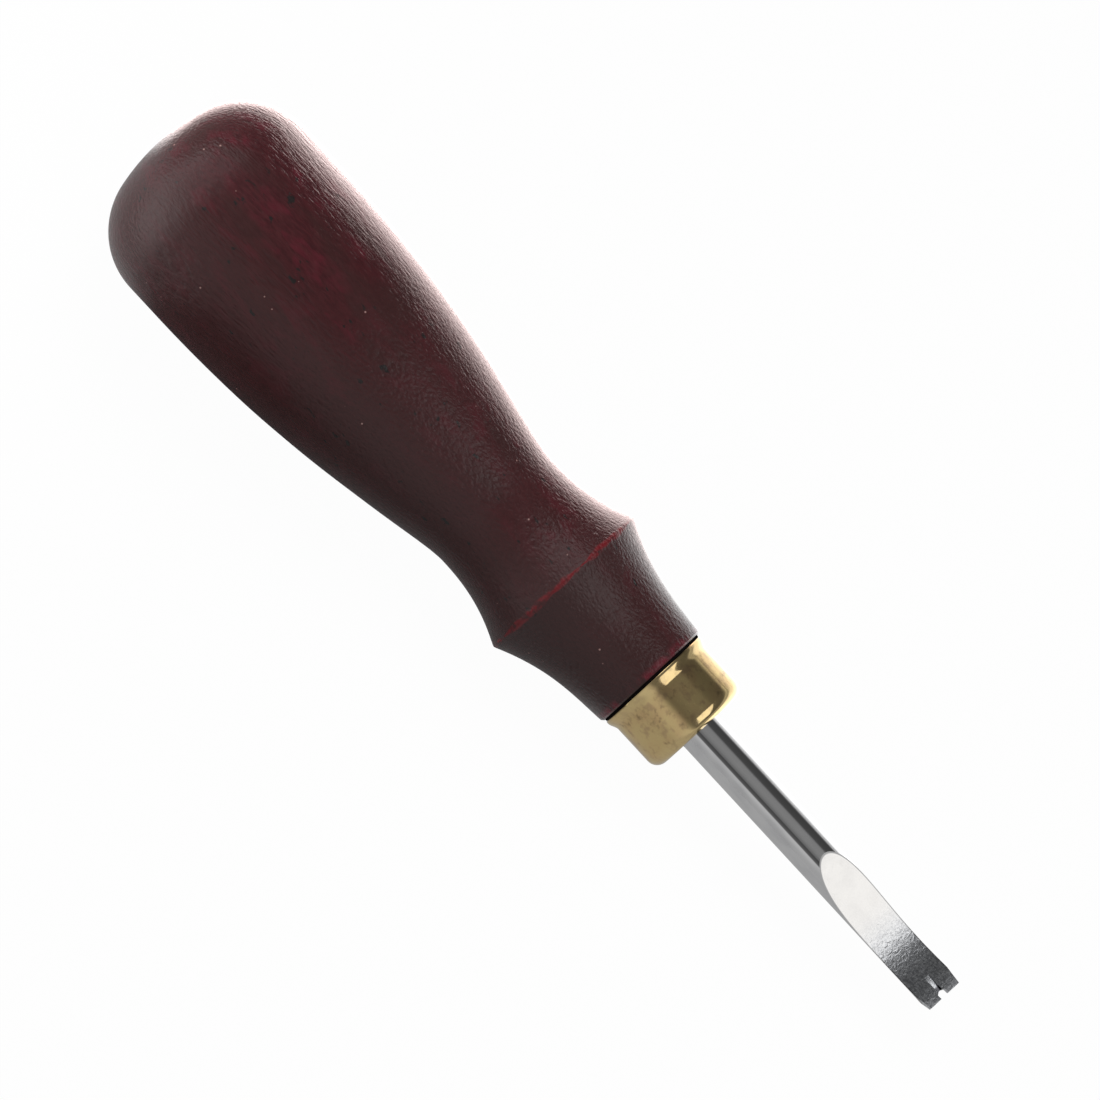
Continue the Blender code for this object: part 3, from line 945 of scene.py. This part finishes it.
def polished_steel():
    made, shader, tree = new_material("polished_steel", Metallic=1.0)
    place = place_in(tree)
    _, y, z = split(tree, place)
    lines = noise_at(tree, place, lengthwise=40.0, crosswise=3500.0, detail=3.0)
    cloud = noise_at(tree, place, lengthwise=250.0, crosswise=700.0, detail=4.0)
    round_axis = maths(tree, "ARCTAN2", y, z)
    drawn = mixed(tree, ramp(tree, cloud, SHANK_TONE_SPAN), SHANK_PALE, SHANK_DULL)
    # Painted reflections: bands of grey at fixed angles round the shank
    for start, end, level in SHANK_PAINTED_REFLECTIONS:
        span = (math.radians(start), math.radians(end))
        drawn = mixed(tree, between(tree, round_axis, span, SHANK_PAINTED_REFLECTION_SOFT), drawn, grey(level))
    wire(
        tree,
        shader,
        Base_Color=drawn,
        Roughness=ramp(tree, cloud, MOST_OF_NOISE, SHANK_ROUGHNESSES),
        Normal=bumped(tree, lines, SHANK_LINE_DEPTH),
    )
    return made


# Ground steel. The painted shade at the ramp's end passes its sides by a margin, and the painted shade along
# the face's edge is measured in from the rod's surface
FACE_WARM_REFLECTION = colour(0.69, 0.675, 0.655)
FACE_COOL_REFLECTION = colour(0.70, 0.715, 0.74)
FACE_TIP_SPAN = (0.041, 0.051)
FACE_CLOUD = colour(0.30, 0.30, 0.31)
FACE_CLOUD_SPAN = (0.35, 0.7)
FACE_CLOUD_LEVELS = (0.0, 0.08)
FACE_PIT = colour(0.30, 0.31, 0.33)
FACE_PIT_SPAN = (0.38, 0.66)
FACE_PIT_LEVELS = (0.0, 0.75)
RAMP_END_SHADE = colour(0.10, 0.10, 0.11)
RAMP_END_SHADE_SPAN = (0.0552, 0.0556)
RAMP_END_SHADE_MARGIN = 0.000007
FACE_EDGE_SHADE = grey(0.28)
FACE_EDGE_SHADE_START = 0.00016
FACE_EDGE_SHADE_FULL = 0.00008
FACE_ROUGHNESSES = (0.10, 0.17)
RIPPLE_DEPTH = 0.000024
RIPPLE_SPAN = (0.0505, 0.0535)
RIPPLE_LEVELS = (1.0, 0.6)
FACE_LINE_DEPTH = 0.0000018


def face_colour(tree, place):
    """The face's steel, with a painted reflection tint: warm in its bright half and cooler in its dark half
    towards the tip; pitted towards the tip, with painted shade at the ramp's end and along the edge.
    """
    x, y, _ = split(tree, place)
    cloud = noise_at(tree, place, lengthwise=500.0, crosswise=500.0, detail=4.0)
    pits = noise_at(tree, place, lengthwise=3000.0, crosswise=3600.0, detail=4.0)
    tipward = ramp(tree, x, FACE_TIP_SPAN)
    # Painted reflection tint: warm where the face reflects bright, cool towards the tip where it reflects
    # dark
    toned = mixed(tree, tipward, FACE_WARM_REFLECTION, FACE_COOL_REFLECTION)
    clouded = mixed(tree, ramp(tree, cloud, FACE_CLOUD_SPAN, FACE_CLOUD_LEVELS), toned, FACE_CLOUD)
    pitting = times(tree, tipward, ramp(tree, pits, FACE_PIT_SPAN, FACE_PIT_LEVELS))
    pitted = mixed(tree, pitting, clouded, FACE_PIT)
    # Painted shade at the ramp's deep end
    in_ramp = maths(tree, "LESS_THAN", maths(tree, "ABSOLUTE", y), RAMP_WIDTH / 2 + RAMP_END_SHADE_MARGIN)
    filed = mixed(tree, times(tree, in_ramp, ramp(tree, x, RAMP_END_SHADE_SPAN)), pitted, RAMP_END_SHADE)
    # Painted shade along the face's edge
    off_axis = scaled(tree, place, (0.0, 1.0, 1.0))
    radius = node(tree, "VectorMath", {0: off_axis}, operation="LENGTH").outputs["Value"]
    at_edge_shade = ramp(tree, radius, (SHANK_RADIUS - FACE_EDGE_SHADE_START, SHANK_RADIUS - FACE_EDGE_SHADE_FULL))
    return mixed(tree, at_edge_shade, filed, FACE_EDGE_SHADE)


def ground_steel():
    made, shader, tree = new_material("ground_steel", Metallic=1.0)
    place = place_in(tree)
    x, _, _ = split(tree, place)
    lines = noise_at(tree, place, lengthwise=5200.0, crosswise=500.0, detail=3.0, distortion=0.3)
    ripple = noise_at(tree, place, lengthwise=2000.0, crosswise=1500.0, detail=5.0, distortion=0.8)
    rippled = bumped(tree, ripple, RIPPLE_DEPTH, strength=ramp(tree, x, RIPPLE_SPAN, RIPPLE_LEVELS))
    wire(
        tree,
        shader,
        Base_Color=face_colour(tree, place),
        Roughness=ramp(tree, ripple, MOST_OF_NOISE, FACE_ROUGHNESSES),
        Normal=bumped(tree, lines, FACE_LINE_DEPTH, under=rippled),
    )
    return made


# The pieces


def make_handle():
    mesh = turned("handle", handle_outline(), HANDLE_SIDES)
    for vertex in mesh.vertices:
        vertex.co = hand_turned(vertex.co)
    placed("turned_handle", mesh, [stained_wood()], "handle")


def make_ferrule():
    mesh = turned("ferrule", ferrule_outline(), METAL_SIDES, is_ring=True)
    placed("drawn_ferrule", mesh, [brass()], "ferrule")


def make_blade():
    """The blade, polished where the rod's own surface is left and ground elsewhere."""
    mesh = ground_blade()
    wheel = hollow_centre()
    polished = 0
    ground = 1
    for polygon in mesh.polygons:
        middle = polygon.center
        is_off_wheel = math.hypot(middle.x - wheel.x, middle.z - wheel.y) > HOLLOW_RADIUS + SKIN
        is_on_rod = math.hypot(middle.y, middle.z) > SHANK_RADIUS - SKIN
        polygon.material_index = polished if is_off_wheel and is_on_rod else ground
    placed("ground_blade", mesh, [polished_steel(), ground_steel()], "blade")


# Studio


def left_of_tool(tree, x):
    """What reflections see of the floor's left: grey, with a painted shadow of the handle beside it, and
    white far past the butt.
    """
    beside_handle = between(tree, x, LEFT_PAINTED_SHADOW_SPAN, LEFT_PAINTED_SHADOW_SOFT)
    # Painted shadow of the handle, darker towards the butt
    dark = ramp(tree, x, LEFT_PAINTED_SHADOW_CHANGE, LEFT_PAINTED_SHADOW_LEVELS)
    return blended(tree, beside_handle, ramp(tree, x, LEFT_GREY_SPAN, LEFT_GREY_LEVELS), dark)


def right_of_tool(tree, x, y):
    """What reflections see of the floor's right: grey, bright beside the tool and most so at the butt."""
    near = ramp(tree, y, RIGHT_NEAR_SPAN, RIGHT_NEAR_LEVELS)
    bright = maths(tree, "SUBTRACT", near, ramp(tree, y, RIGHT_FAR_SPAN, RIGHT_FAR_LOSSES))
    handle_gain = ramp(tree, x, RIGHT_HANDLE_SPAN, RIGHT_HANDLE_GAINS)
    gain = maths(tree, "ADD", handle_gain, ramp(tree, x, RIGHT_BUTT_SPAN, RIGHT_BUTT_GAINS))
    beside_tool = between(tree, x, RIGHT_BRIGHT_SPAN, RIGHT_BRIGHT_SOFT)
    return blended(tree, beside_tool, RIGHT_GREY, times(tree, bright, gain))


def floor_white():
    """White with its own light, which keeps the tool's shadow on it faint.

    Reflections see its left and its right otherwise, and its right is pink beside the handle.
    """
    made, shader, tree = new_material("floor_white", Base_Color=FLOOR_PAINT, Roughness=FLOOR_ROUGHNESS)
    x, y, _ = place_in_world(tree)
    rays = node(tree, "LightPath", {}).outputs
    is_reflected = rays["Is Glossy Ray"]
    on_right = ramp(tree, y, MIDDLE_SPAN)
    cards = blended(tree, on_right, left_of_tool(tree, x), right_of_tool(tree, x, y))
    strength = blended(tree, is_reflected, 1.0, cards)
    pinked = times(tree, times(tree, ramp(tree, x, PINK_SPAN), on_right), is_reflected)
    tint = mixed(tree, pinked, WHITE, PINK)
    own_light = node(tree, "Emission", {"Color": tint, "Strength": strength}).outputs[0]
    is_seen = maths(tree, "ADD", rays["Is Camera Ray"], rays["Is Transmission Ray"])
    share = times(tree, maths(tree, "ADD", is_seen, is_reflected), FLOOR_GLOW)
    lit = node(tree, "MixShader", {0: share, 1: shader.outputs[0], 2: own_light}).outputs[0]
    tree.links.new(lit, tree.nodes["Material Output"].inputs["Surface"])
    return made


def make_floor():
    rim_centre = Vector((FLOOR_RADIUS, RIM_RADIUS))
    rim = arc(rim_centre, RIM_RADIUS, DOWN, DOWN + RIM_RISE, BEND_STEPS)
    outline = [Vector((0.0, 0.0)), *rim]
    mesh = turned("floor", [Vector((p.y, p.x)) for p in outline], FLOOR_SIDES)
    mesh.transform(Matrix.Rotation(-math.pi / 2, 4, "Y"))
    mesh.shade_smooth()
    mesh.materials.append(floor_white())
    linked("floor", mesh)


def make_card(name, distance, span, round_axis, glow, lights_surfaces):
    """A strip of soft light bent round the axis, which the camera doesn't see."""
    first, last = round_axis
    points = []
    for i in range(CARD_STEPS + 1):
        outward = direction(0.0, first + (last - first) * i / CARD_STEPS) * distance
        points += [TOOL.translation + TIPWARD * x + outward for x in span]
    strips = [(2 * i, 2 * i + 1, 2 * i + 3, 2 * i + 2) for i in range(CARD_STEPS)]
    mesh = bpy.data.meshes.new(name)
    mesh.from_pydata(points, [], strips)
    mesh.materials.append(glow)
    card = linked(name, mesh)
    card.visible_camera = False
    card.visible_diffuse = lights_surfaces
    card.visible_shadow = False


def new_glow(name, **constants):
    return new_material(name, Base_Color=BLACK, Emission_Color=WHITE, **constants)


def make_tip_card():
    glow, _, _ = new_glow("tip_glow", Emission_Strength=TIP_CARD_STRENGTH)
    make_card("tip_card", TIP_CARD_DISTANCE, TIP_CARD_SPAN, TIP_CARD_ROUND, glow, False)


def make_butt_card():
    glow, shader, tree = new_glow("butt_glow")
    x, y, _ = place_in_world(tree)
    spot = times(
        tree,
        between(tree, x, BUTT_SPOT_X_SPAN, BUTT_SPOT_X_SOFT),
        between(tree, y, BUTT_SPOT_Y_SPAN, BUTT_SPOT_Y_SOFT),
    )
    strength = ramp(tree, y, BUTT_CARD_LEFT_SPAN, BUTT_CARD_LEVELS)
    wire(
        tree,
        shader,
        Emission_Strength=maths(tree, "ADD", strength, times(tree, spot, BUTT_SPOT_GAIN)),
        Alpha=ramp(tree, x, BUTT_CARD_FADE),
    )
    make_card("butt_card", BUTT_CARD_DISTANCE, BUTT_CARD_SPAN, BUTT_CARD_ROUND, glow, True)


def make_camera():
    lens = bpy.data.cameras.new("camera")
    lens.sensor_width = SENSOR_WIDTH
    lens.lens = SENSOR_WIDTH * CAMERA_DISTANCE / (PHOTO_PIXELS * PIXEL)
    lens.clip_end = 2.0 * (CAMERA_DISTANCE + FLOOR_RADIUS)
    camera = linked("camera", lens)
    right = TIPWARD * math.cos(AXIS_DIP) + ACROSS * math.sin(AXIS_DIP)
    up = ACROSS * math.cos(AXIS_DIP) - TIPWARD * math.sin(AXIS_DIP)
    centre = TOOL.translation - TIPWARD * CENTRE_TO_SHOULDER + ACROSS * CENTRE_ACROSS
    turn = Matrix((right, up, CAMERAWARD)).transposed()
    camera.matrix_world = Matrix.Translation(centre + CAMERAWARD * CAMERA_DISTANCE) @ turn.to_4x4()
    bpy.context.scene.camera = camera


def make_key():
    """A wide soft light from the right, a little towards the butt."""
    lamp = bpy.data.lights.new("key", "SUN")
    lamp.energy = KEY_STRENGTH
    lamp.angle = KEY_WIDTH
    key = linked("key", lamp)
    key.rotation_mode = "QUATERNION"
    key.rotation_quaternion = direction(KEY_TIPWARD, KEY_ROUND).to_track_quat("Z", "Y")
    key.visible_glossy = False


def window(tree, tipward, round_axis, tipward_span, round_span, soft, strength):
    """Light of this strength between two angles towards the tip and two round the axis, in degrees."""
    softness = math.radians(soft)
    sines = [math.sin(math.radians(angle)) for angle in tipward_span]
    angles = [math.radians(angle) for angle in round_span]
    lit = times(
        tree,
        between(tree, tipward, sines, softness / 2),
        between(tree, round_axis, angles, softness),
    )
    return times(tree, lit, strength)


def make_sky():
    """What surrounds the tool: grey on the left, dark above and on the right, white low on the right,
    and two soft windows towards the butt.
    """
    world = bpy.data.worlds.new("studio")
    world.use_nodes = True
    bpy.context.scene.world = world
    tree = world.node_tree
    ray = node(tree, "TexCoord", {}).outputs["Generated"]
    tipward = facing(tree, ray, TIPWARD)
    round_axis = maths(tree, "ARCTAN2", facing(tree, ray, ACROSS), facing(tree, ray, CAMERAWARD))
    full_turn = {"Value": round_axis, "From Min": -math.pi, "From Max": math.pi}
    bands = node(tree, "ValToRGB", {"Fac": node(tree, "MapRange", full_turn).outputs[0]})
    stops = bands.color_ramp.elements
    ready_stops = len(stops)
    for i, (angle, level) in enumerate(SKY_STOPS):
        where = angle / 360.0 + 0.5
        stop = stops[i] if i < ready_stops else stops.new(where)
        stop.position = where
        stop.color = grey(level)
    dimmed = times(tree, bands.outputs[0], ramp(tree, tipward, SKY_BUTT_SPAN, SKY_BUTT_LEVELS))
    wide = window(tree, tipward, round_axis, **WIDE_WINDOW)
    small = window(tree, tipward, round_axis, **SMALL_WINDOW)
    light = maths(tree, "ADD", dimmed, maths(tree, "ADD", wide, small))
    tree.links.new(light, tree.nodes["Background"].inputs["Color"])


make_handle()
make_ferrule()
make_blade()
make_floor()
make_tip_card()
make_butt_card()
make_camera()
make_key()
make_sky()
bpy.context.scene.view_settings.view_transform = "Standard"
